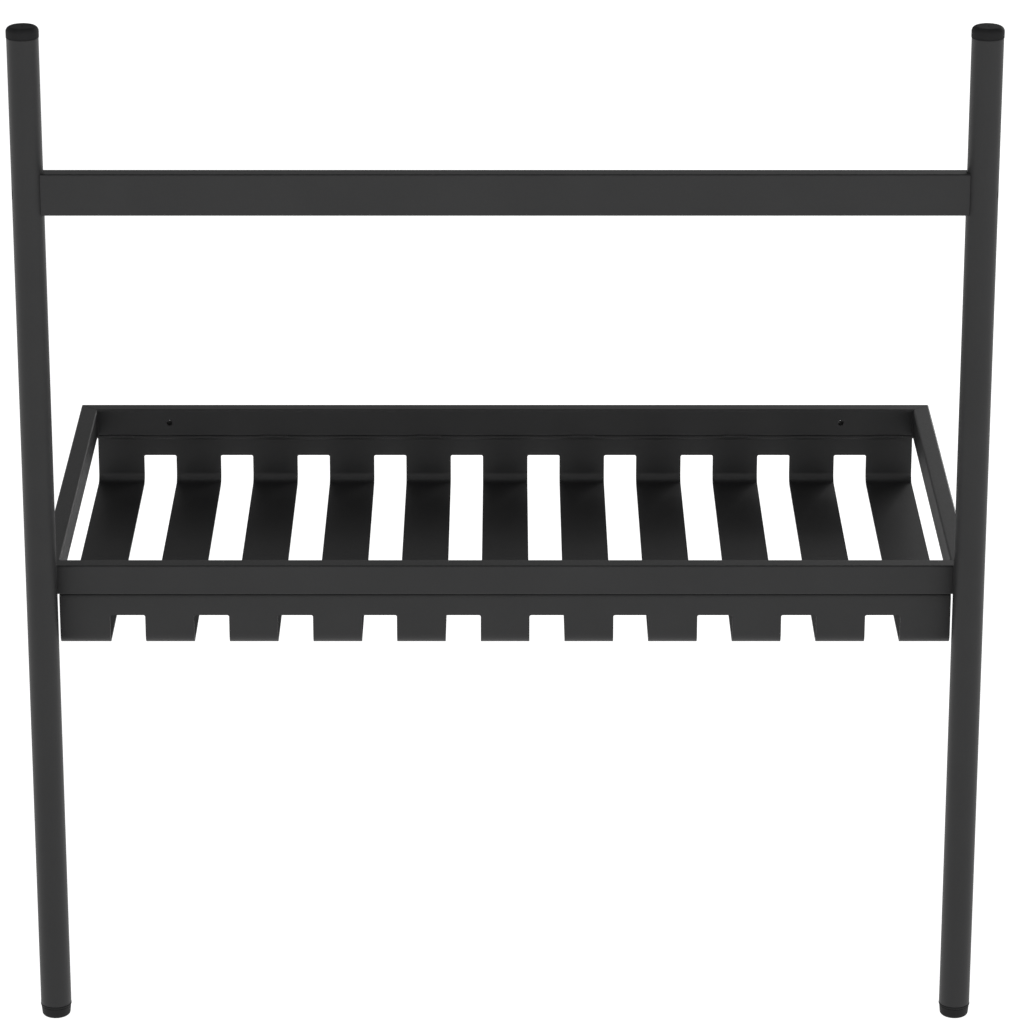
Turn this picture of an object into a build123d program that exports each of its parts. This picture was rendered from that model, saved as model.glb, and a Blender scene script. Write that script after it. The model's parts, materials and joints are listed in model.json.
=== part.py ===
from build123d import *
import os

# A firewood log rack: two posts stand on the floor, and a slatted tray is bolted behind them. The tray's
# rear rail is screwed to a wall. Millimetres. The origin is on the back face of the rear rim rail, in the
# middle of the line of wall screws. +X is to the right from the front, +Y goes into the wall, +Z is up.

# Overall sizes; heights are above the floor.
OVERALL_HEIGHT = 851.0
POST_SPACING = 753.6
POST_RADIUS = 12.7
POST_WALL = 1.5
UPPER_RAIL_BOTTOM = 698.8
UPPER_RAIL_HEIGHT = 34.1
RIM_TOP = 395.3
RIM_WIDTH = 758.5
RIM_DEPTH = 412.0
RIM_RAIL_HEIGHT = 25.0
RAIL_THICKNESS = 15.0
RAIL_WALL = 1.2
RAIL_CORNER_RADIUS = 1.6

# Trough, one bent sheet.
SLAT_COUNT = 11
TROUGH_LENGTH = 730.0
SLAT_PITCH = 68.78
SLOT_WIDTH = 28.8
SLOT_CORNER_RADIUS = 1.5
SLOT_TOP = 349.9
TROUGH_BOTTOM = 323.8
TROUGH_INSET = 6.0           # from the rim's outer face in to the trough wall's outer face
SHEET = 2.0
FLOOR_BEND_INNER_RADIUS = 8.0
LIP_BEND_INNER_RADIUS = 4.0

# Caps.
TOP_CAP_RADIUS = 13.0
TOP_CAP_HEIGHT = 9.0
TOP_CAP_EDGE_RADIUS = 4.0
FOOT_CAP_RADIUS = 12.9       # where it meets the post
FOOT_CAP_FLOOR_RADIUS = 11.8
FOOT_CAP_HEIGHT = 11.0
FOOT_CAP_EDGE_RADIUS = 2.5
SPIGOT_LENGTH = 18.0
SPIGOT_RADIUS = 10.6
SPIGOT_BORE_RADIUS = 8.6
SPIGOT_RIBS = 3
SPIGOT_RIB_RADIUS = 11.1
SPIGOT_RIB_HEIGHT = 1.2
SPIGOT_RIB_PITCH = 4.5

# M6 fasteners.
BOLT_RADIUS = 2.95
THREADED_HOLE_RADIUS = 3.05
CLEARANCE_HOLE_RADIUS = 3.2
HEAD_RADIUS = 5.25
HEAD_HEIGHT = 3.3
HEAD_EDGE_RADIUS = 1.8
SOCKET_ACROSS_FLATS = 4.0
SOCKET_DEPTH = 2.0
WASHER_RADIUS = 6.0
RAIL_WASHER_THICKNESS = 2.5
TRAY_WASHER_THICKNESS = 1.6
RAIL_BOLT_LENGTH = 20.0
TRAY_BOLT_LENGTH = 16.0
ACCESS_HOLE_RADIUS = 6.0
PLUG_WALL = 1.2
PLUG_DEPTH = 4.0
END_BLOCK_LENGTH = 12.0
END_BLOCK_RECESS = 3.0
RIVET_NUT_RADIUS = 4.5
RIVET_NUT_LENGTH = 12.0
RIVET_NUT_BULGE_RADIUS = 6.0
RIVET_NUT_BULGE_LENGTH = 2.4

# Saddle plates between the posts and the tray.
PLATE_THICKNESS = 3.0        # down the middle, where it is thinnest
PLATE_WIDTH = 15.4
PLATE_HEIGHT = 72.0
PLATE_CORNER_RADIUS = 3.0
PLATE_BOLT_SPACING = 48.0

# Wall fixing.
WALL_SCREW_SPACING = 600.0
WALL_SCREW_HOLE_RADIUS = 2.6
SLEEVE_RADIUS = 4.5

GAP = 0.1                    # between curved faces that meet
DRILL_LENGTH = 50.0          # of the cylinders that cut holes; longer than any hole is deep

# Worked out from the above.
SCREW_LINE = RIM_TOP - RIM_RAIL_HEIGHT / 2
POST_X = POST_SPACING / 2
PLATE_BACK = POST_RADIUS + GAP + PLATE_THICKNESS    # from a post's axis to the plate's flat back
POST_Y = -RIM_DEPTH - PLATE_BACK
POST_BOTTOM = FOOT_CAP_HEIGHT
POST_TOP = OVERALL_HEIGHT - TOP_CAP_HEIGHT
BORE_RADIUS = POST_RADIUS - POST_WALL
UPPER_RAIL_CENTRE = UPPER_RAIL_BOTTOM + UPPER_RAIL_HEIGHT / 2
TROUGH_DEPTH = RIM_DEPTH - 2 * TROUGH_INSET
RIM_BOTTOM = RIM_TOP - RIM_RAIL_HEIGHT
# From a post's axis out to where the upper rail's bolts and the tray's bolts sit on their washers.
RAIL_BOLT_SEAT = BORE_RADIUS - RAIL_WASHER_THICKNESS
TRAY_BOLT_SEAT = PLATE_BACK + TRAY_WASHER_THICKNESS
PLATE_BOLT_HEIGHTS = [SCREW_LINE - PLATE_BOLT_SPACING / 2, SCREW_LINE + PLATE_BOLT_SPACING / 2]

FROM_BOTTOM = (Align.CENTER, Align.CENTER, Align.MIN)
FROM_TOP = (Align.CENTER, Align.CENTER, Align.MAX)
CENTRED = (Align.CENTER, Align.CENTER, Align.CENTER)
ALONG_X = Rot(0, 90, 0)      # turns +Z to +X
ALONG_Y = Rot(-90, 0, 0)     # turns +Z to +Y


def z_at(height):
    """Z in the part's frame of a height above the floor."""
    return height - SCREW_LINE


def post_axis(side, height):
    """Place on a post's axis; side is -1 for the left post and 1 for the right one."""
    return Pos(side * POST_X, POST_Y, z_at(height))


def post_space(side, radius):
    """A long upright cylinder on a post's axis, to cut with."""
    return post_axis(side, 0) * Cylinder(radius, OVERALL_HEIGHT, align=FROM_BOTTOM)


def drill(radius, align=FROM_BOTTOM):
    """A cylinder along Z that cuts a hole."""
    return Cylinder(radius, DRILL_LENGTH, align=align)


def outward(side):
    """Turns +Z away from the rack's middle, along X."""
    return Rot(0, side * 90, 0)


def square_tube(height):
    """Cross-section of the flat rectangular tube, standing on edge."""
    outside = RectangleRounded(RAIL_THICKNESS, height, RAIL_CORNER_RADIUS)
    inside = RectangleRounded(
        RAIL_THICKNESS - 2 * RAIL_WALL, height - 2 * RAIL_WALL, RAIL_CORNER_RADIUS - RAIL_WALL
    )
    return outside - inside


def post(side):
    tube = Cylinder(POST_RADIUS, POST_TOP - POST_BOTTOM, align=FROM_BOTTOM)
    tube -= Cylinder(BORE_RADIUS, POST_TOP - POST_BOTTOM, align=FROM_BOTTOM)
    tube = post_axis(side, POST_BOTTOM) * tube
    rail_joint = post_axis(side, UPPER_RAIL_CENTRE)
    tube -= rail_joint * outward(side) * drill(ACCESS_HOLE_RADIUS)
    tube -= rail_joint * outward(-side) * drill(CLEARANCE_HOLE_RADIUS)
    for height in PLATE_BOLT_HEIGHTS:
        tube -= post_axis(side, height) * ALONG_Y * drill(RIVET_NUT_RADIUS + GAP)
    return tube


def plug_cap(collar, edge_radius):
    """A cap on the end of a tube that points up: a collar with a rounded edge over a ribbed spigot."""
    collar = fillet(collar.edges().sort_by(Axis.Z)[-1], edge_radius)
    spigot = Cylinder(SPIGOT_RADIUS, SPIGOT_LENGTH, align=FROM_TOP)
    for rib in range(SPIGOT_RIBS):
        drop = SPIGOT_RIB_PITCH * (rib + 1)
        spigot += Pos(0, 0, -drop) * Cylinder(SPIGOT_RIB_RADIUS, SPIGOT_RIB_HEIGHT, align=FROM_TOP)
    spigot -= Cylinder(SPIGOT_BORE_RADIUS, SPIGOT_LENGTH, align=FROM_TOP)
    return collar + spigot


def top_cap(side):
    collar = Cylinder(TOP_CAP_RADIUS, TOP_CAP_HEIGHT, align=FROM_BOTTOM)
    return post_axis(side, POST_TOP) * plug_cap(collar, TOP_CAP_EDGE_RADIUS)


def foot_cap(side):
    collar = Cone(FOOT_CAP_RADIUS, FOOT_CAP_FLOOR_RADIUS, FOOT_CAP_HEIGHT, align=FROM_BOTTOM)
    turned_over = Rot(180, 0, 0) * plug_cap(collar, FOOT_CAP_EDGE_RADIUS)
    return post_axis(side, POST_BOTTOM) * turned_over


def upper_rail():
    section = Plane.YZ * square_tube(UPPER_RAIL_HEIGHT)
    rail = extrude(section, amount=POST_X, both=True)
    rail = Pos(0, POST_Y, z_at(UPPER_RAIL_CENTRE)) * rail
    for side in (-1, 1):
        rail -= post_space(side, POST_RADIUS + GAP)
    return rail


def end_block(side):
    """Threaded block inside the end of the upper rail."""
    block = Box(
        END_BLOCK_LENGTH,
        RAIL_THICKNESS - 2 * RAIL_WALL - GAP,
        UPPER_RAIL_HEIGHT - 2 * RAIL_WALL - GAP,
    )
    block = fillet(block.edges().filter_by(Axis.X), RAIL_CORNER_RADIUS - RAIL_WALL + GAP)
    block -= ALONG_X * drill(THREADED_HOLE_RADIUS, CENTRED)
    inset = POST_RADIUS + END_BLOCK_RECESS + END_BLOCK_LENGTH / 2
    return Pos(side * (POST_X - inset), POST_Y, z_at(UPPER_RAIL_CENTRE)) * block


def button_bolt(length):
    """Button-head socket bolt with its head above Z = 0 and its shank below."""
    head = Cylinder(HEAD_RADIUS, HEAD_HEIGHT, align=FROM_BOTTOM)
    head = fillet(head.edges().sort_by(Axis.Z)[-1], HEAD_EDGE_RADIUS)
    socket = RegularPolygon(SOCKET_ACROSS_FLATS / 2, 6, major_radius=False)
    head -= extrude(Pos(0, 0, HEAD_HEIGHT) * socket, amount=-SOCKET_DEPTH)
    return head + Cylinder(BOLT_RADIUS, length, align=FROM_TOP)


def rail_bolt(side):
    seat = Pos(side * (POST_X - RAIL_BOLT_SEAT), POST_Y, z_at(UPPER_RAIL_CENTRE))
    return seat * outward(side) * button_bolt(RAIL_BOLT_LENGTH)


def rail_washer(side):
    """Curved washer inside the post, round side to the bore and flat side to the bolt's head."""
    disc = Cylinder(WASHER_RADIUS, RAIL_WASHER_THICKNESS, align=FROM_TOP)
    disc -= drill(CLEARANCE_HOLE_RADIUS, CENTRED)
    seat = Pos(side * (POST_X - RAIL_BOLT_SEAT), POST_Y, z_at(UPPER_RAIL_CENTRE))
    return (seat * outward(side) * disc) & post_space(side, BORE_RADIUS - GAP)


def access_plug(side):
    """Plug that closes the bolt's way in, flush with the post."""
    plug = Cylinder(ACCESS_HOLE_RADIUS - GAP, POST_RADIUS, align=FROM_BOTTOM)
    start = POST_RADIUS - PLUG_DEPTH
    plug -= Cylinder(ACCESS_HOLE_RADIUS, start, align=FROM_BOTTOM)
    plug -= Cylinder(ACCESS_HOLE_RADIUS - GAP - PLUG_WALL, POST_RADIUS - PLUG_WALL, align=FROM_BOTTOM)
    plug = post_axis(side, UPPER_RAIL_CENTRE) * outward(side) * plug
    return plug & post_space(side, POST_RADIUS)


def rim_outline(points):
    """Upright prism on a plan outline, as tall as the rim, for the mitres."""
    face = make_face(Polyline(*points, close=True))
    return Pos(0, 0, -RIM_RAIL_HEIGHT / 2) * extrude(face, amount=RIM_RAIL_HEIGHT)


def long_rim_rail(outer_y, inner_y):
    """A front or rear rim rail, mitred at both ends."""
    section = Plane.YZ * square_tube(RIM_RAIL_HEIGHT)
    rail = extrude(section, amount=RIM_WIDTH / 2, both=True)
    rail = Pos(0, (outer_y + inner_y) / 2, 0) * rail
    outer = RIM_WIDTH / 2
    inner = outer - RAIL_THICKNESS
    return rail & rim_outline([(-outer, outer_y), (outer, outer_y), (inner, inner_y), (-inner, inner_y)])


def front_rim_rail():
    return long_rim_rail(-RIM_DEPTH, -RIM_DEPTH + RAIL_THICKNESS)


def rear_rim_rail():
    rail = long_rim_rail(0, -RAIL_THICKNESS)
    for side in (-1, 1):
        hole = ALONG_Y * drill(WALL_SCREW_HOLE_RADIUS, CENTRED)
        rail -= Pos(side * WALL_SCREW_SPACING / 2, 0, 0) * hole
    return rail


def side_rim_rail(side):
    section = Plane.XZ * square_tube(RIM_RAIL_HEIGHT)
    rail = extrude(section, amount=RIM_DEPTH / 2, both=True)
    outer = side * RIM_WIDTH / 2
    inner = side * (RIM_WIDTH / 2 - RAIL_THICKNESS)
    rail = Pos((outer + inner) / 2, -RIM_DEPTH / 2, 0) * rail
    front = -RIM_DEPTH
    corners = [(outer, 0), (outer, front), (inner, front + RAIL_THICKNESS), (inner, -RAIL_THICKNESS)]
    return rail & rim_outline(corners)


def wall_screw_sleeve(side):
    """Tube inside the rear rail that stops a wall screw from crushing it."""
    sleeve = Cylinder(SLEEVE_RADIUS, RAIL_THICKNESS - 2 * RAIL_WALL)
    sleeve -= drill(WALL_SCREW_HOLE_RADIUS, CENTRED)
    return Pos(side * WALL_SCREW_SPACING / 2, -RAIL_THICKNESS / 2, 0) * ALONG_Y * sleeve


def trough_outline(thickness):
    """The trough's cross-section, filled in; thickness is that of the sheet round its inside, or 0."""
    shrink = 2 * (SHEET - thickness)
    outline = Rectangle(TROUGH_DEPTH - shrink, RIM_BOTTOM - TROUGH_BOTTOM - shrink)
    low_corners = outline.vertices().sort_by(Axis.Y)[:2]
    outline = fillet(low_corners, FLOOR_BEND_INNER_RADIUS + thickness)
    high_corners = outline.vertices().sort_by(Axis.Y)[-2:]
    return fillet(high_corners, LIP_BEND_INNER_RADIUS + thickness)


def slatted_trough():
    """One bent sheet: slotted floor, front and rear walls, and lips turned in under the rim rails."""
    height = RIM_BOTTOM - TROUGH_BOTTOM
    section = trough_outline(SHEET) - trough_outline(0)
    section -= Pos(0, height / 2) * Rectangle(RIM_DEPTH - 2 * RAIL_THICKNESS, height)
    trough = extrude(Plane.YZ * section, amount=TROUGH_LENGTH / 2, both=True)
    trough = Pos(0, -RIM_DEPTH / 2, z_at(TROUGH_BOTTOM + height / 2)) * trough
    cutter_height = 2 * (SLOT_TOP - TROUGH_BOTTOM)
    outline = Plane.XZ * RectangleRounded(SLOT_WIDTH, cutter_height, SLOT_CORNER_RADIUS)
    cutter = extrude(outline, amount=RIM_DEPTH, both=True)
    for slot in range(SLAT_COUNT - 1):
        x = (slot - (SLAT_COUNT - 2) / 2) * SLAT_PITCH
        trough -= Pos(x, 0, z_at(SLOT_TOP - cutter_height / 2)) * cutter
    return trough


def saddle_plate(side):
    """Plate between a post and the rim: hollow towards the post, flat towards the rim."""
    outline = RectangleRounded(PLATE_WIDTH, PLATE_HEIGHT, PLATE_CORNER_RADIUS)
    plate = post_axis(side, SCREW_LINE) * extrude(Plane.XZ * outline, amount=-PLATE_BACK)
    plate -= post_space(side, POST_RADIUS + GAP)
    for height in PLATE_BOLT_HEIGHTS:
        plate -= post_axis(side, height) * ALONG_Y * drill(CLEARANCE_HOLE_RADIUS)
    return plate


def rivet_nut(side, height):
    """Threaded insert in the post's back wall, with the bulge that grips it behind the wall."""
    body = Cylinder(RIVET_NUT_RADIUS, 2 * POST_RADIUS, align=FROM_BOTTOM)
    body -= Cylinder(RIVET_NUT_RADIUS + GAP, POST_RADIUS - RIVET_NUT_LENGTH, align=FROM_BOTTOM)
    place = post_axis(side, height) * ALONG_Y
    nut = (place * body) & post_space(side, POST_RADIUS)
    bulge_start = BORE_RADIUS - RIVET_NUT_BULGE_LENGTH
    bulge = Cylinder(RIVET_NUT_BULGE_RADIUS, BORE_RADIUS, align=FROM_BOTTOM)
    bulge -= Cylinder(RIVET_NUT_BULGE_RADIUS, bulge_start, align=FROM_BOTTOM)
    nut += (place * bulge) & post_space(side, BORE_RADIUS - GAP)
    return nut - place * drill(THREADED_HOLE_RADIUS, CENTRED)


def tray_bolt(side, height):
    return post_axis(side, height) * ALONG_Y * Pos(0, 0, TRAY_BOLT_SEAT) * button_bolt(TRAY_BOLT_LENGTH)


def tray_washer(side, height):
    washer = Cylinder(WASHER_RADIUS, TRAY_WASHER_THICKNESS, align=FROM_TOP)
    washer -= drill(CLEARANCE_HOLE_RADIUS, CENTRED)
    return post_axis(side, height) * ALONG_Y * Pos(0, 0, TRAY_BOLT_SEAT) * washer


def both_sides(make):
    return Compound(children=[make(-1), make(1)])


def at_both_heights(make, side):
    return Compound(children=[make(side, height) for height in PLATE_BOLT_HEIGHTS])


def all_nodes():
    nodes = {
        "upper_rail": upper_rail(),
        "upper_rail_end_blocks": both_sides(end_block),
        "upper_rail_bolts": both_sides(rail_bolt),
        "upper_rail_washers": both_sides(rail_washer),
        "access_hole_plugs": both_sides(access_plug),
        "front_rim_rail": front_rim_rail(),
        "rear_rim_rail": rear_rim_rail(),
        "slatted_trough": slatted_trough(),
        "wall_screw_sleeves": both_sides(wall_screw_sleeve),
    }
    for name, side in (("left", -1), ("right", 1)):
        nodes[f"{name}_post"] = post(side)
        nodes[f"{name}_top_cap"] = top_cap(side)
        nodes[f"{name}_foot_cap"] = foot_cap(side)
        nodes[f"{name}_rim_rail"] = side_rim_rail(side)
        nodes[f"{name}_saddle_plate"] = saddle_plate(side)
        nodes[f"{name}_rivet_nuts"] = at_both_heights(rivet_nut, side)
        nodes[f"{name}_tray_bolts"] = at_both_heights(tray_bolt, side)
        nodes[f"{name}_tray_washers"] = at_both_heights(tray_washer, side)
    return nodes


os.makedirs("parts", exist_ok=True)
for node_name, node_shape in all_nodes().items():
    export_step(node_shape, f"parts/{node_name}.step")
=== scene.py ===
import json
import math

import bmesh
import bpy
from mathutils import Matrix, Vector


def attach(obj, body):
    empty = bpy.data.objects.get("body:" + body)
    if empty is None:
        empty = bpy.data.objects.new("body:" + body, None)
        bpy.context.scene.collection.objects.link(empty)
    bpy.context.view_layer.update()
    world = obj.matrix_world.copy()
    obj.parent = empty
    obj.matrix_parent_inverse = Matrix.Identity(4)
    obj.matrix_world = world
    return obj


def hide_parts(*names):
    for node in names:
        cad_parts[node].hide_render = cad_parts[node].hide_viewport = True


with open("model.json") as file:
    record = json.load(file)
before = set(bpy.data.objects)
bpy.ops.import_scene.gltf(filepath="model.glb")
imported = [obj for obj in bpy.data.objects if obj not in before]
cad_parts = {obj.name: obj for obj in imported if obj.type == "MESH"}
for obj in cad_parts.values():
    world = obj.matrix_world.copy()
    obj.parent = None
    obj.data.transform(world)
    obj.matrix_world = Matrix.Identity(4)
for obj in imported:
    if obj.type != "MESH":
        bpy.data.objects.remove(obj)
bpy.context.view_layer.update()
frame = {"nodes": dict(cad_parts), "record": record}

# The row frame in metres: the origin is on the back of the rear rim rail, +Y goes into the wall.
MM = 0.001

# The rack's sizes, as in the CAD source. Heights are above the floor.
SCREW_LINE = 382.8 * MM
OVERALL_HEIGHT = 851.0 * MM
POST_X = 376.8 * MM
POST_Y = -427.8 * MM
POST_RADIUS = 12.7 * MM
POST_BORE_RADIUS = 11.2 * MM
POST_BOTTOM = 11.0 * MM
POST_TOP = 842.0 * MM
UPPER_RAIL_BOTTOM = 698.8 * MM
UPPER_RAIL_HEIGHT = 34.1 * MM
RIM_TOP = 395.3 * MM
RIM_HEIGHT = 25.0 * MM
RIM_WIDTH = 758.5 * MM
RIM_DEPTH = 412.0 * MM
RAIL_THICKNESS = 15.0 * MM
RAIL_WALL = 1.2 * MM
RAIL_CORNER_RADIUS = 1.6 * MM
TROUGH_LENGTH = 730.0 * MM
TROUGH_INSET = 6.0 * MM
TROUGH_BOTTOM = 323.8 * MM
SHEET = 2.0 * MM
FLOOR_BEND_INNER_RADIUS = 8.0 * MM
LIP_BEND_INNER_RADIUS = 4.0 * MM
SLAT_COUNT = 11
SLAT_PITCH = 68.78 * MM
SLOT_WIDTH = 28.8 * MM
SLOT_TOP = 349.9 * MM
SLOT_CORNER_RADIUS = 1.5 * MM
PLATE_BACK = 15.8 * MM
PLATE_WIDTH = 15.4 * MM
PLATE_HEIGHT = 72.0 * MM
PLATE_CORNER_RADIUS = 3.0 * MM
PLATE_BOLT_OFFSET = 24.0 * MM
ACCESS_HOLE_RADIUS = 6.0 * MM
RAIL_BOLT_HOLE_RADIUS = 3.2 * MM
RIVET_HOLE_RADIUS = 4.6 * MM
BOLT_HOLE_RADIUS = 3.2 * MM
WALL_SCREW_X = 300.0 * MM
WALL_SCREW_HOLE_RADIUS = 2.6 * MM
TRAY_BOLT_SEAT = 17.4 * MM
BOLT_RADIUS = 2.95 * MM
BOLT_TIP_RADIUS = 2.6 * MM
BOLT_TIP_TAPER = 0.4 * MM
BOLT_LENGTH = 16.0 * MM
BOLT_HEAD_RADIUS = 5.25 * MM
BOLT_HEAD_HEIGHT = 3.3 * MM
BOLT_HEAD_EDGE = 1.8 * MM
BOLT_HEAD_CHAMFER = 0.2 * MM
SOCKET_CORNER_RADIUS = 2.31 * MM
SOCKET_FLOOR = 0.9 * MM
GAP = 0.1 * MM

# Detail that only the eye needs.
ROUND_STEPS = 96
CORNER_STEPS = 6
BEND_STEPS = 12
HOLE_STEPS = 40
EDGE_ROUNDING = 0.25 * MM
PLATE_EDGE_ROUNDING = 0.4 * MM
BOLT_EDGE_ROUNDING = 0.15 * MM
SHARP_ANGLE = math.radians(32)
BEAD_RING = 10
BEAD_STEP = 0.5 * MM
BEAD_RIPPLE_LENGTH = 1.9 * MM
BEAD_RIPPLE = 0.13
CORNER_BEAD_RADIUS = 0.6 * MM
PLATE_BEAD_RADIUS = 1.1 * MM
STITCH_BEAD_RADIUS = 1.0 * MM
STITCH_LENGTH = 24.0 * MM
NO_BEAD_DIRECTION = (0.31, 0.17, 0.93)    # no weld runs this way

# The view: a long lens from in front and above.
FLOOR_Z = -SCREW_LINE
CAMERA_PITCH = math.radians(19.93)
CAMERA_DISTANCE = 3.8763
CAMERA_TARGET_HEIGHT = 0.44785
CAMERA_SIDESTEP = 0.0003
CAMERA_LENS = 168.57

# Finishes: the darkest and lightest colour, the range of roughness, and the strength of the shine.
COAT = ((0.0083, 0.0083, 0.0087), (0.0108, 0.0108, 0.0112), (0.45, 0.55), 0.36)
CAP_PLASTIC = ((0.0100, 0.0100, 0.0105), (0.0140, 0.0140, 0.0146), (0.65, 0.78), 0.13)
FOOT_RUBBER = ((0.0058, 0.0058, 0.0060), (0.0096, 0.0096, 0.0099), (0.55, 0.70), 0.18)
# Painted shade: the sleeves' coat is duller and less shiny, so that the wall-screw bores look shaded.
SLEEVE_SHADE_COAT = ((0.0090, 0.0090, 0.0090), (0.0130, 0.0130, 0.0130), (0.70, 0.80), 0.16)
BLACK_STEEL = ((0.032, 0.032, 0.036), (0.065, 0.065, 0.071), (0.30, 0.45))
ZINC_STEEL = ((0.62, 0.62, 0.61), (0.82, 0.82, 0.81), (0.25, 0.42))

# Noise scales of the finishes, per metre.
COAT_CLOUDS = 18
COAT_PEEL = 520
COAT_GRAIN = 1400
MOULD_CLOUDS = 90
MOULD_GRAIN = 2400
METAL_PATCHES = 350
METAL_MARKS = 3500

FLOOR_SIZE = 40
FLOOR_GREY = (0.35, 0.35, 0.35, 1)
FLOOR_GLOW = 1.0

# The light: (height of a direction, grey) for the sky, and (name, azimuth, elevation, distance, width,
# height, radiance) for the softboxes.
SKY = [(0.0, 0.6), (0.2, 0.42), (0.34, 0.38), (0.62, 0.26), (0.99, 0.16)]
SOFTBOXES = [
    ("key_left", -50, 16, 4.0, 3.4, 1.4, 1.35),
    ("key_middle", 0, 16, 4.0, 3.2, 1.4, 1.45),
    ("key_right", 50, 16, 4.0, 3.4, 1.4, 1.95),
    ("side_left", -112, 0, 3.0, 1.4, 1.6, 0.6),
    ("back_right", 143, 16, 3.0, 1.6, 1.0, 4.8),
    ("ceiling", 0, 66, 3.2, 3.0, 0.9, 1.5),
]


def z_at(height):
    """Z in the row frame of a height above the floor."""
    return height - SCREW_LINE


# Meshes.


def piece_from(name, bm):
    """An object made of a bmesh, with smooth shading."""
    bmesh.ops.recalc_face_normals(bm, faces=bm.faces)
    mesh = bpy.data.meshes.new(name)
    bm.to_mesh(mesh)
    bm.free()
    for polygon in mesh.polygons:
        polygon.use_smooth = True
    piece = bpy.data.objects.new(name, mesh)
    bpy.context.scene.collection.objects.link(piece)
    return piece


def lathe_into(bm, profile, place, steps=ROUND_STEPS):
    """Adds a profile of (radius, height) points, turned round an axis.

    place(x, y, z) puts a point in the frame. The solid is closed if the profile starts and ends on the
    axis, or comes back to its start."""
    rings = []
    for radius, height in profile:
        if radius == 0:
            rings.append([bm.verts.new(place(0, 0, height))])
            continue
        ring = []
        for step in range(steps):
            angle = 2 * math.pi * step / steps
            ring.append(bm.verts.new(place(radius * math.cos(angle), radius * math.sin(angle), height)))
        rings.append(ring)
    if profile[0][0] != 0:
        rings.append(rings[0])
    for lower, upper in zip(rings, rings[1:]):
        for step in range(steps):
            corners = [lower[step % len(lower)], lower[(step + 1) % len(lower)]]
            corners += [upper[(step + 1) % len(upper)], upper[step % len(upper)]]
            bm.faces.new(list(dict.fromkeys(corners)))


def lathe(name, profile, place, steps=ROUND_STEPS):
    bm = bmesh.new()
    lathe_into(bm, profile, place, steps)
    return piece_from(name, bm)


def prism(name, outline, place):
    """A solid with one cross-section. place(u, v, end) puts a point of the outline at end -1 or 1."""
    bm = bmesh.new()
    ends = [[bm.verts.new(place(u, v, end)) for u, v in outline] for end in (-1, 1)]
    for index in range(len(outline)):
        following = (index + 1) % len(outline)
        bm.faces.new((ends[0][index], ends[0][following], ends[1][following], ends[1][index]))
    for end in ends:
        bm.faces.new(end)
    return piece_from(name, bm)


def tube(name, outer, inner, place):
    """A hollow section between two outlines with the same number of points, open at both ends."""
    bm = bmesh.new()
    loops = []
    for outline, end in ((outer, -1), (outer, 1), (inner, 1), (inner, -1)):
        loops.append([bm.verts.new(place(u, v, end)) for u, v in outline])
    loops.append(loops[0])
    for near, far in zip(loops, loops[1:]):
        for index in range(len(outer)):
            following = (index + 1) % len(outer)
            bm.faces.new((near[index], near[following], far[following], far[index]))
    return piece_from(name, bm)


def arc(centre_u, centre_v, radius, start, end, steps):
    """Points on an arc; start and end are in degrees."""
    points = []
    for step in range(steps + 1):
        angle = math.radians(start + (end - start) * step / steps)
        points.append((centre_u + radius * math.cos(angle), centre_v + radius * math.sin(angle)))
    return points


def rounded_rectangle(width, height, radius, steps=CORNER_STEPS):
    u = width / 2 - radius
    v = height / 2 - radius
    points = arc(u, v, radius, 0, 90, steps)
    points += arc(-u, v, radius, 90, 180, steps)
    points += arc(-u, -v, radius, 180, 270, steps)
    points += arc(u, -v, radius, 270, 360, steps)
    return points


def rail_outlines(height):
    """Outer and inner outline of a rectangular tube, with u across it and v up."""
    outer = rounded_rectangle(RAIL_THICKNESS, height, RAIL_CORNER_RADIUS)
    inner = rounded_rectangle(
        RAIL_THICKNESS - 2 * RAIL_WALL, height - 2 * RAIL_WALL, RAIL_CORNER_RADIUS - RAIL_WALL
    )
    return outer, inner


def bake_modifiers(piece):
    depsgraph = bpy.context.evaluated_depsgraph_get()
    plain = piece.data
    piece.data = bpy.data.meshes.new_from_object(piece.evaluated_get(depsgraph))
    piece.modifiers.clear()
    bpy.data.meshes.remove(plain)


def carve(piece, cutters, operation="DIFFERENCE"):
    for cutter in cutters:
        modifier = piece.modifiers.new("carve", "BOOLEAN")
        modifier.operation = operation
        modifier.solver = "EXACT"
        modifier.object = cutter
    bake_modifiers(piece)
    for cutter in cutters:
        bpy.data.objects.remove(cutter)
    return piece


def soften(piece, width=EDGE_ROUNDING):
    """Rounds the sharp edges."""
    bevel = piece.modifiers.new("edges", "BEVEL")
    bevel.width = width
    bevel.segments = 2
    bevel.limit_method = "ANGLE"
    bevel.angle_limit = SHARP_ANGLE
    bake_modifiers(piece)
    return piece


def keep_flats_flat(piece):
    """Shading that is smooth round the curves and even across the flats."""
    piece.data.set_sharp_from_angle(angle=SHARP_ANGLE)
    modifier = piece.modifiers.new("flat_faces", "WEIGHTED_NORMAL")
    modifier.keep_sharp = True


def upright(x, y, z):
    """Places a lathe profile with its axis vertical at that point."""
    return lambda u, v, w: (x + u, y + v, z + w)


def along_x(x, y, z, direction=1):
    return lambda u, v, w: (x + direction * w, y + u, z + v)


def along_y(x, y, z):
    return lambda u, v, w: (x + u, y + w, z + v)


def drill(place, radius, depth, steps=HOLE_STEPS):
    """A cylinder to cut with, from the place's origin."""
    return lathe("drill", [(0, 0), (radius, 0), (radius, depth), (0, depth)], place, steps)


def post_cutter(side, radius):
    profile = [(0, 0), (radius, 0), (radius, OVERALL_HEIGHT), (0, OVERALL_HEIGHT)]
    return lathe("post_cutter", profile, upright(side * POST_X, POST_Y, FLOOR_Z))


# Weld beads.


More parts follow.
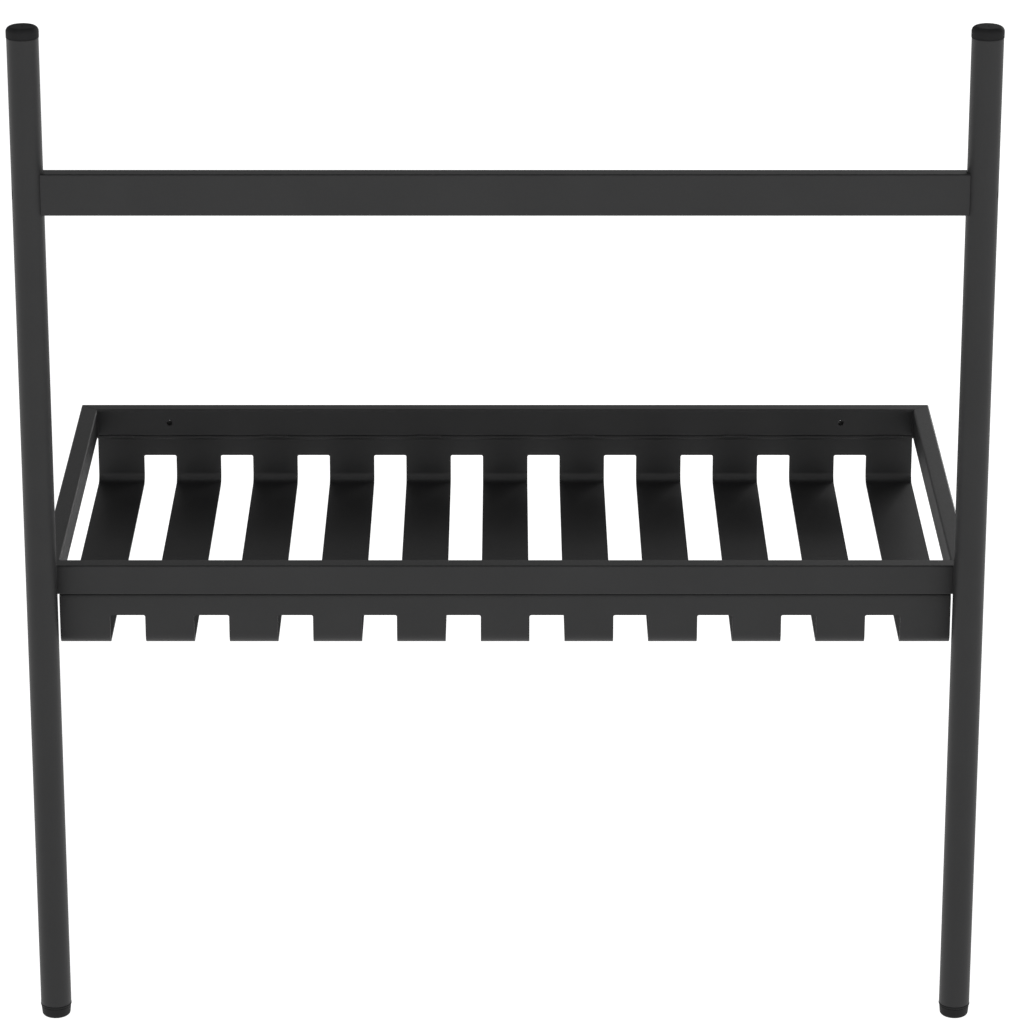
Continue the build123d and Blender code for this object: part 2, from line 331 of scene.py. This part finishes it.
def bead_into(bm, path, radius):
    """Adds a rippled bead along a path, rounded off at both ends."""
    points = resampled(path, BEAD_STEP)
    rings = []
    for index, point in enumerate(points):
        ahead = points[min(index + 1, len(points) - 1)]
        behind = points[max(index - 1, 0)]
        tangent = (ahead - behind).normalized()
        across = tangent.cross(Vector(NO_BEAD_DIRECTION)).normalized()
        upward = tangent.cross(across)
        travelled = index * BEAD_STEP
        ripple = 1 + BEAD_RIPPLE * math.sin(2 * math.pi * travelled / BEAD_RIPPLE_LENGTH)
        to_end = min(index, len(points) - 1 - index) * BEAD_STEP
        taper = math.sqrt(min(1, 0.15 + to_end / radius))
        ring = []
        for step in range(BEAD_RING):
            angle = 2 * math.pi * step / BEAD_RING
            offset = math.cos(angle) * across + math.sin(angle) * upward
            ring.append(bm.verts.new(point + radius * ripple * taper * offset))
        rings.append(ring)
    for near, far in zip(rings, rings[1:]):
        for step in range(BEAD_RING):
            following = (step + 1) % BEAD_RING
            bm.faces.new((near[step], near[following], far[following], far[step]))
    bm.faces.new(rings[0])
    bm.faces.new(rings[-1])


def resampled(path, spacing):
    """Points about that far apart along a path of straight lines."""
    points = []
    for start, end in zip(path, path[1:]):
        start, end = Vector(start), Vector(end)
        steps = max(1, round((end - start).length / spacing))
        points += [start.lerp(end, step / steps) for step in range(steps)]
    points.append(Vector(path[-1]))
    return points


def beads(name, paths, radius):
    bm = bmesh.new()
    for path in paths:
        bead_into(bm, path, radius)
    return piece_from(name, bm)


def corner_paths():
    """Along the mitres: over the top, down the inside corner and back underneath."""
    paths = []
    top = z_at(RIM_TOP)
    bottom = top - RIM_HEIGHT
    inward = RAIL_CORNER_RADIUS * 0.3
    for side in (-1, 1):
        outer_x = side * (RIM_WIDTH / 2 - RAIL_CORNER_RADIUS)
        inner_x = side * (RIM_WIDTH / 2 - RAIL_THICKNESS)
        for outer_y, inner_y in (
            (-RAIL_CORNER_RADIUS, -RAIL_THICKNESS),
            (-RIM_DEPTH + RAIL_CORNER_RADIUS, -RIM_DEPTH + RAIL_THICKNESS),
        ):
            paths.append([
                (outer_x, outer_y, top - inward),
                (inner_x, inner_y, top - inward),
                (inner_x, inner_y, bottom + inward),
                (outer_x, outer_y, bottom + inward),
            ])
    return paths


def plate_paths():
    """Round three sides of each saddle plate, where it stands on the rim's front face."""
    paths = []
    y = -RIM_DEPTH
    half_height = RIM_HEIGHT / 2
    for side in (-1, 1):
        inner_x = side * (POST_X - PLATE_WIDTH / 2)
        outer_x = side * (RIM_WIDTH / 2 - RAIL_CORNER_RADIUS)
        paths.append([(outer_x, y, half_height), (inner_x, y, half_height)])
        paths.append([(inner_x, y, half_height), (inner_x, y, -half_height)])
        paths.append([(inner_x, y, -half_height), (outer_x, y, -half_height)])
    return paths


def stitch_paths():
    """Short welds that join the trough's lips to the rim rails' inner edges, at every other slat."""
    paths = []
    z = z_at(RIM_TOP - RIM_HEIGHT)
    for y in (-RAIL_THICKNESS, -RIM_DEPTH + RAIL_THICKNESS):
        for slat in range(0, SLAT_COUNT, 2):
            x = (slat - (SLAT_COUNT - 1) / 2) * SLAT_PITCH
            paths.append([(x - STITCH_LENGTH / 2, y, z), (x + STITCH_LENGTH / 2, y, z)])
    return paths


# Pieces.


def post(name, side):
    profile = [
        (POST_RADIUS - EDGE_ROUNDING, POST_BOTTOM),
        (POST_RADIUS, POST_BOTTOM + EDGE_ROUNDING),
        (POST_RADIUS, POST_TOP - EDGE_ROUNDING),
        (POST_RADIUS - EDGE_ROUNDING, POST_TOP),
        (POST_BORE_RADIUS, POST_TOP),
        (POST_BORE_RADIUS, POST_BOTTOM),
    ]
    x = side * POST_X
    piece = lathe(name, profile, upright(x, POST_Y, FLOOR_Z))
    rail_height = z_at(UPPER_RAIL_BOTTOM + UPPER_RAIL_HEIGHT / 2)
    deep = 2 * POST_RADIUS
    cutters = [
        drill(along_x(x, POST_Y, rail_height, side), ACCESS_HOLE_RADIUS, deep),
        drill(along_x(x, POST_Y, rail_height, -side), RAIL_BOLT_HOLE_RADIUS, deep),
    ]
    for offset in (-PLATE_BOLT_OFFSET, PLATE_BOLT_OFFSET):
        cutters.append(drill(along_y(x, POST_Y, offset), RIVET_HOLE_RADIUS, deep))
    return soften(carve(piece, cutters))


def spigot_profile(length=18.0 * MM, root=10.6 * MM, bore=8.6 * MM, rib=11.1 * MM, pitch=4.5 * MM):
    """The hollow plug below a cap, from its root round to the middle; it has sloping ribs."""
    profile = [(root, -0.2 * MM)]
    for index in range(3):
        start = -pitch * (index + 1)
        profile += [(root, start), (rib, start - 0.2 * MM), (root, start - 1.2 * MM)]
    return profile + [(root, -length), (bore, -length), (bore, -0.6 * MM), (0, -0.6 * MM)]


def top_cap_profile():
    """A domed lid with a moulding gate in the middle and a small lip where it meets the tube."""
    height = 9.0 * MM
    radius = 13.0 * MM
    edge = 4.0 * MM
    profile = [(0, height - 0.35 * MM), (0.7 * MM, height - 0.35 * MM), (1.1 * MM, height - 0.05 * MM)]
    profile += [(radius - edge - 1 * MM, height)]
    profile += [(u, v) for u, v in reversed(arc(radius - edge, height - edge, edge, 0, 90, 14))]
    return profile + [
        (radius, 1.1 * MM),
        (radius - 0.15 * MM, 0.95 * MM),
        (radius - 0.15 * MM, 0.75 * MM),
        (radius, 0.6 * MM),
        (radius, 0.25 * MM),
        (radius - 0.25 * MM, 0),
        (POST_BORE_RADIUS - 0.2 * MM, 0),
    ] + spigot_profile()


def foot_cap_profile():
    """A tapered foot with a rounded lip, a groove under the lip and rings moulded into the sole."""
    height = 11.0 * MM
    floor_radius = 11.8 * MM
    lip = 12.9 * MM
    edge = 2.5 * MM
    profile = [(0, height - 0.6 * MM)]
    for ring in (3.0 * MM, 6.0 * MM):
        profile += [
            (ring - 0.9 * MM, height - 0.6 * MM),
            (ring - 0.5 * MM, height),
            (ring + 0.5 * MM, height),
            (ring + 0.9 * MM, height - 0.6 * MM),
        ]
    profile += [
        (floor_radius - edge - 1.0 * MM, height - 0.6 * MM),
        (floor_radius - edge - 0.6 * MM, height),
    ]
    profile += [(u, v) for u, v in reversed(arc(floor_radius - edge, height - edge, edge, 4, 90, 10))]
    return profile + [
        (lip - 0.5 * MM, 2.6 * MM),
        (lip - 0.75 * MM, 2.3 * MM),
        (lip - 0.75 * MM, 2.0 * MM),
        (lip - 0.2 * MM, 1.7 * MM),
        (lip, 1.2 * MM),
        (lip, 0.5 * MM),
        (lip - 0.15 * MM, 0.15 * MM),
        (lip - 0.5 * MM, 0),
        (POST_BORE_RADIUS - 0.2 * MM, 0),
    ] + spigot_profile()


def top_cap(name, side):
    return lathe(name, top_cap_profile(), upright(side * POST_X, POST_Y, z_at(POST_TOP)))


def foot_cap(name, side):
    def turned_over(u, v, w):
        return (side * POST_X + u, POST_Y + v, z_at(POST_BOTTOM) - w)
    return lathe(name, foot_cap_profile(), turned_over)


def upper_rail(name):
    outer, inner = rail_outlines(UPPER_RAIL_HEIGHT)
    middle = z_at(UPPER_RAIL_BOTTOM + UPPER_RAIL_HEIGHT / 2)
    piece = tube(name, outer, inner, lambda u, v, end: (end * POST_X, POST_Y + u, middle + v))
    return soften(carve(piece, [post_cutter(side, POST_RADIUS + GAP) for side in (-1, 1)]))


def long_rim_rail(name, outer_y, inward):
    """The front or rear rim rail. inward is 1 where the inside of the tray lies towards +Y."""
    outer, inner = rail_outlines(RIM_HEIGHT)

    def place(u, v, end):
        depth = u + RAIL_THICKNESS / 2
        return (end * (RIM_WIDTH / 2 - depth), outer_y + inward * depth, v)
    return tube(name, outer, inner, place)


def front_rim_rail(name):
    return long_rim_rail(name, -RIM_DEPTH, 1)


def rear_rim_rail(name):
    piece = long_rim_rail(name, 0, -1)
    holes = []
    for x in (-WALL_SCREW_X, WALL_SCREW_X):
        holes.append(drill(along_y(x, -2 * RAIL_THICKNESS, 0), WALL_SCREW_HOLE_RADIUS, 3 * RAIL_THICKNESS))
    return soften(carve(piece, holes))


def side_rim_rail(name, side):
    outer, inner = rail_outlines(RIM_HEIGHT)

    def place(u, v, end):
        depth = u + RAIL_THICKNESS / 2
        y = -RIM_DEPTH / 2 + end * (RIM_DEPTH / 2 - depth)
        return (side * (RIM_WIDTH / 2 - depth), y, v)
    return tube(name, outer, inner, place)


def trough_outline():
    """Cross-section of the bent sheet, from the front lip round the floor to the rear lip and back."""
    front = -RIM_DEPTH + TROUGH_INSET
    rear = -TROUGH_INSET
    floor = z_at(TROUGH_BOTTOM)
    top = z_at(RIM_TOP - RIM_HEIGHT)
    outside = bent_line(front, rear, floor, top, SHEET)
    inside = bent_line(front + SHEET, rear - SHEET, floor + SHEET, top - SHEET, 0)
    return outside + inside[::-1]


def bent_line(front, rear, floor, top, wider):
    """One face of the bent sheet; wider is what its radii have more than the inner ones."""
    lip_bend = LIP_BEND_INNER_RADIUS + wider
    floor_bend = FLOOR_BEND_INNER_RADIUS + wider
    line = [(-RIM_DEPTH + RAIL_THICKNESS, top)]
    line += arc(front + lip_bend, top - lip_bend, lip_bend, 90, 180, BEND_STEPS)
    line += arc(front + floor_bend, floor + floor_bend, floor_bend, 180, 270, BEND_STEPS)
    line += arc(rear - floor_bend, floor + floor_bend, floor_bend, 270, 360, BEND_STEPS)
    line += arc(rear - lip_bend, top - lip_bend, lip_bend, 0, 90, BEND_STEPS)
    line += [(-RAIL_THICKNESS, top)]
    return line


def slot_cutter(x):
    height = 2 * (SLOT_TOP - TROUGH_BOTTOM)
    middle = z_at(SLOT_TOP) - height / 2
    outline = rounded_rectangle(SLOT_WIDTH, height, SLOT_CORNER_RADIUS)
    return prism("slot", outline, lambda u, v, end: (x + u, -RIM_DEPTH / 2 + end * RIM_DEPTH, middle + v))


def slatted_trough(name):
    piece = prism(name, trough_outline(), lambda u, v, end: (end * TROUGH_LENGTH / 2, u, v))
    cutters = []
    for slot in range(SLAT_COUNT - 1):
        cutters.append(slot_cutter((slot - (SLAT_COUNT - 2) / 2) * SLAT_PITCH))
    return soften(carve(piece, cutters))


def saddle_plate(name, side):
    x = side * POST_X
    outline = rounded_rectangle(PLATE_WIDTH, PLATE_HEIGHT, PLATE_CORNER_RADIUS)
    middle = PLATE_BACK / 2
    piece = prism(name, outline, lambda u, v, end: (x + u, POST_Y + middle + end * middle, v))
    cutters = [post_cutter(side, POST_RADIUS + GAP)]
    for offset in (-PLATE_BOLT_OFFSET, PLATE_BOLT_OFFSET):
        cutters.append(drill(along_y(x, POST_Y, offset), BOLT_HOLE_RADIUS, 2 * POST_RADIUS))
    return soften(carve(piece, cutters), PLATE_EDGE_ROUNDING)


def bolt_head_profile():
    top_radius = BOLT_HEAD_RADIUS - BOLT_HEAD_EDGE
    profile = [(0, 0), (BOLT_HEAD_RADIUS - BOLT_HEAD_CHAMFER, 0), (BOLT_HEAD_RADIUS, BOLT_HEAD_CHAMFER)]
    profile += arc(top_radius, BOLT_HEAD_HEIGHT - BOLT_HEAD_EDGE, BOLT_HEAD_EDGE, 0, 90, 8)
    return profile + [(0, BOLT_HEAD_HEIGHT)]


def bolt_shank_profile():
    """From the tip to just inside the head."""
    overlap = 0.1 * MM
    return [
        (0, -BOLT_LENGTH),
        (BOLT_TIP_RADIUS, -BOLT_LENGTH),
        (BOLT_RADIUS, -BOLT_LENGTH + BOLT_TIP_TAPER),
        (BOLT_RADIUS, overlap),
        (0, overlap),
    ]


def tray_bolts(name, side):
    """Button-head bolts with hexagon sockets, seen from the wall side."""
    above = 2 * BOLT_HEAD_HEIGHT
    corner = SOCKET_CORNER_RADIUS
    socket = [(0, SOCKET_FLOOR), (corner, SOCKET_FLOOR), (corner, above), (0, above)]
    seats = []
    for offset in (-PLATE_BOLT_OFFSET, PLATE_BOLT_OFFSET):
        seats.append(along_y(side * POST_X, POST_Y + TRAY_BOLT_SEAT, offset))
    heads = bmesh.new()
    sockets = bmesh.new()
    for seat in seats:
        lathe_into(heads, bolt_head_profile(), seat, HOLE_STEPS)
        lathe_into(sockets, socket, seat, 6)
    piece = carve(piece_from(name, heads), [piece_from("sockets", sockets)])
    bolts = bmesh.new()
    bolts.from_mesh(piece.data)
    for seat in seats:
        lathe_into(bolts, bolt_shank_profile(), seat, HOLE_STEPS)
    bolts.to_mesh(piece.data)
    bolts.free()
    return soften(piece, BOLT_EDGE_ROUNDING)


# Materials. Each is a node tree over the frame's own coordinates.


def material_base(name):
    material = bpy.data.materials.new(name)
    material.use_nodes = True
    tree = material.node_tree
    coordinates = tree.nodes.new("ShaderNodeTexCoord")
    return material, tree, tree.nodes["Principled BSDF"], coordinates.outputs["Object"]


def noise(tree, coordinates, scale, detail=3.0):
    node = tree.nodes.new("ShaderNodeTexNoise")
    node.inputs["Scale"].default_value = scale
    node.inputs["Detail"].default_value = detail
    tree.links.new(coordinates, node.inputs["Vector"])
    return node.outputs["Fac"]


def blend_colours(tree, factor, dark, light):
    ramp = tree.nodes.new("ShaderNodeValToRGB")
    ramp.color_ramp.elements[0].position = 0.3
    ramp.color_ramp.elements[0].color = (*dark, 1)
    ramp.color_ramp.elements[1].position = 0.7
    ramp.color_ramp.elements[1].color = (*light, 1)
    tree.links.new(factor, ramp.inputs["Fac"])
    return ramp.outputs["Color"]


def spread(tree, factor, low, high):
    """Maps a noise of 0.3 to 0.7 onto a range."""
    node = tree.nodes.new("ShaderNodeMapRange")
    node.inputs["From Min"].default_value = 0.3
    node.inputs["From Max"].default_value = 0.7
    node.inputs["To Min"].default_value = low
    node.inputs["To Max"].default_value = high
    tree.links.new(factor, node.inputs["Value"])
    return node.outputs["Result"]


def bump(tree, height, distance, strength, below=None):
    node = tree.nodes.new("ShaderNodeBump")
    node.inputs["Distance"].default_value = distance
    node.inputs["Strength"].default_value = strength
    tree.links.new(height, node.inputs["Height"])
    if below is not None:
        tree.links.new(below, node.inputs["Normal"])
    return node.outputs["Normal"]


def powder_coat(dark, light, roughness, specular):
    """Satin black with an orange-peel skin over the slightly wavy steel."""
    material, tree, shader, where = material_base("powder_coat")
    cloud = noise(tree, where, COAT_CLOUDS)
    grain = noise(tree, where, COAT_GRAIN, 2)
    peel = noise(tree, where, COAT_PEEL, 2)
    tree.links.new(blend_colours(tree, cloud, dark, light), shader.inputs["Base Color"])
    tree.links.new(spread(tree, grain, *roughness), shader.inputs["Roughness"])
    shader.inputs["Specular IOR Level"].default_value = specular
    waves = bump(tree, peel, 0.04 * MM, 0.25)
    tree.links.new(bump(tree, grain, 0.02 * MM, 0.35, waves), shader.inputs["Normal"])
    return material


def moulded(name, dark, light, roughness, specular):
    """Matte moulded plastic or rubber with an eroded mould grain."""
    material, tree, shader, where = material_base(name)
    cloud = noise(tree, where, MOULD_CLOUDS)
    grain = noise(tree, where, MOULD_GRAIN, 4)
    tree.links.new(blend_colours(tree, cloud, dark, light), shader.inputs["Base Color"])
    tree.links.new(spread(tree, cloud, *roughness), shader.inputs["Roughness"])
    shader.inputs["Specular IOR Level"].default_value = specular
    tree.links.new(bump(tree, grain, 0.03 * MM, 0.4), shader.inputs["Normal"])
    return material


def metal(name, dark, light, roughness):
    """Plated or blackened steel with patchy tone and fine turning marks."""
    material, tree, shader, where = material_base(name)
    patches = noise(tree, where, METAL_PATCHES, 5)
    marks = noise(tree, where, METAL_MARKS, 2)
    tree.links.new(blend_colours(tree, patches, dark, light), shader.inputs["Base Color"])
    tree.links.new(spread(tree, marks, *roughness), shader.inputs["Roughness"])
    shader.inputs["Metallic"].default_value = 1.0
    tree.links.new(bump(tree, marks, 0.01 * MM, 0.3), shader.inputs["Normal"])
    return material


def make_materials():
    """By slot, and by node where a node has its own: inside the sleeves a duller, less shiny coat paints
    shade into the bores.
    """
    return {
        "powder_coat": powder_coat(*COAT),
        "cap_plastic": moulded("cap_plastic", *CAP_PLASTIC),
        "foot_rubber": moulded("foot_rubber", *FOOT_RUBBER),
        "black_bolt": metal("black_bolt", *BLACK_STEEL),
        "zinc_steel": metal("zinc_steel", *ZINC_STEEL),
        # Painted shade: a duller coat darkens the bores of the wall-screw sleeves.
        "wall_screw_sleeves": moulded("sleeve_shade_coat", *SLEEVE_SHADE_COAT),
    }


# Assembly.


def detailed_pieces():
    """(piece, material slot, CAD nodes it stands for) for everything that shows."""
    rows = [
        (upper_rail("upper_rail_tube"), "powder_coat", ["upper_rail"]),
        (front_rim_rail("front_rim_tube"), "powder_coat", ["front_rim_rail"]),
        (rear_rim_rail("rear_rim_tube"), "powder_coat", ["rear_rim_rail"]),
        (slatted_trough("bent_trough"), "powder_coat", ["slatted_trough"]),
        (beads("rim_corner_welds", corner_paths(), CORNER_BEAD_RADIUS), "powder_coat", []),
        (beads("saddle_plate_welds", plate_paths(), PLATE_BEAD_RADIUS), "powder_coat", []),
        (beads("trough_stitch_welds", stitch_paths(), STITCH_BEAD_RADIUS), "powder_coat", []),
    ]
    for word, side in (("left", -1), ("right", 1)):
        rows += [
            (post(f"{word}_post_tube", side), "powder_coat", [f"{word}_post"]),
            (top_cap(f"{word}_top_lid", side), "cap_plastic", [f"{word}_top_cap"]),
            (foot_cap(f"{word}_foot", side), "foot_rubber", [f"{word}_foot_cap"]),
            (side_rim_rail(f"{word}_rim_tube", side), "powder_coat", [f"{word}_rim_rail"]),
            (saddle_plate(f"{word}_curved_plate", side), "powder_coat", [f"{word}_saddle_plate"]),
            (tray_bolts(f"{word}_button_bolts", side), "black_bolt", [f"{word}_tray_bolts"]),
        ]
    return rows


def dress(materials):
    for piece, slot_name, nodes in detailed_pieces():
        keep_flats_flat(piece)
        piece.data.materials.clear()
        piece.data.materials.append(materials[slot_name])
        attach(piece, "root")
        if nodes:
            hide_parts(*nodes)
    for subpart in frame["record"]["subparts"]:
        node = frame["nodes"][subpart["node"]]
        node.data.materials.clear()
        coat = materials.get(subpart["node"], materials[subpart["material_slot"]])
        node.data.materials.append(coat)


# Studio.


def add_camera():
    data = bpy.data.cameras.new("camera")
    data.lens = CAMERA_LENS
    camera = bpy.data.objects.new("camera", data)
    bpy.context.scene.collection.objects.link(camera)
    target = Vector((CAMERA_SIDESTEP, POST_Y, FLOOR_Z + CAMERA_TARGET_HEIGHT))
    back = Vector((0, -math.cos(CAMERA_PITCH), math.sin(CAMERA_PITCH)))
    camera.location = target + CAMERA_DISTANCE * back
    camera.rotation_euler = (math.pi / 2 - CAMERA_PITCH, 0, 0)
    bpy.context.scene.camera = camera


def add_floor():
    """A white studio floor that glows softly, so that it stays white under the rack."""
    bpy.ops.mesh.primitive_plane_add(size=FLOOR_SIZE, location=(0, 0, FLOOR_Z))
    floor = bpy.context.object
    floor.name = "floor"
    material = bpy.data.materials.new("floor")
    material.use_nodes = True
    shader = material.node_tree.nodes["Principled BSDF"]
    shader.inputs["Base Color"].default_value = FLOOR_GREY
    shader.inputs["Roughness"].default_value = 1.0
    shader.inputs["Specular IOR Level"].default_value = 0.0
    shader.inputs["Emission Color"].default_value = (1, 1, 1, 1)
    shader.inputs["Emission Strength"].default_value = FLOOR_GLOW
    floor.data.materials.append(material)


def add_world():
    """Soft light that is brightest near the horizon and fades towards the ceiling."""
    world = bpy.data.worlds.new("studio")
    world.use_nodes = True
    tree = world.node_tree
    direction = tree.nodes.new("ShaderNodeTexCoord")
    parts = tree.nodes.new("ShaderNodeSeparateXYZ")
    tree.links.new(direction.outputs["Generated"], parts.inputs["Vector"])
    ramp = tree.nodes.new("ShaderNodeValToRGB")
    ramp.color_ramp.interpolation = "EASE"
    stops = ramp.color_ramp.elements
    for position, grey in SKY:
        stop = stops.new(position)
        stop.color = (grey, grey, grey, 1)
    stops.remove(stops[0])
    stops.remove(stops[-1])
    tree.links.new(parts.outputs["Z"], ramp.inputs["Fac"])
    tree.links.new(ramp.outputs["Color"], tree.nodes["Background"].inputs["Color"])
    tree.nodes["Background"].inputs["Strength"].default_value = 1.0
    bpy.context.scene.world = world


def add_softbox(name, azimuth, elevation, distance, width, height, radiance):
    """A rectangular light that faces the middle of the tray. Azimuth 0 is in front and 90 on the right."""
    data = bpy.data.lights.new(name, "AREA")
    data.shape = "RECTANGLE"
    data.size = width
    data.size_y = height
    data.energy = radiance * math.pi * width * height
    light = bpy.data.objects.new(name, data)
    bpy.context.scene.collection.objects.link(light)
    target = Vector((0, -RIM_DEPTH / 2, 0))
    flat = Vector((math.sin(math.radians(azimuth)), -math.cos(math.radians(azimuth)), 0))
    direction = math.cos(math.radians(elevation)) * flat + Vector((0, 0, math.sin(math.radians(elevation))))
    light.location = target + distance * direction
    light.rotation_euler = direction.to_track_quat("Z", "Y").to_euler()
    light.visible_camera = False


bpy.context.scene.view_settings.view_transform = "Standard"
add_camera()
add_floor()
add_world()
for softbox in SOFTBOXES:
    add_softbox(*softbox)
dress(make_materials())
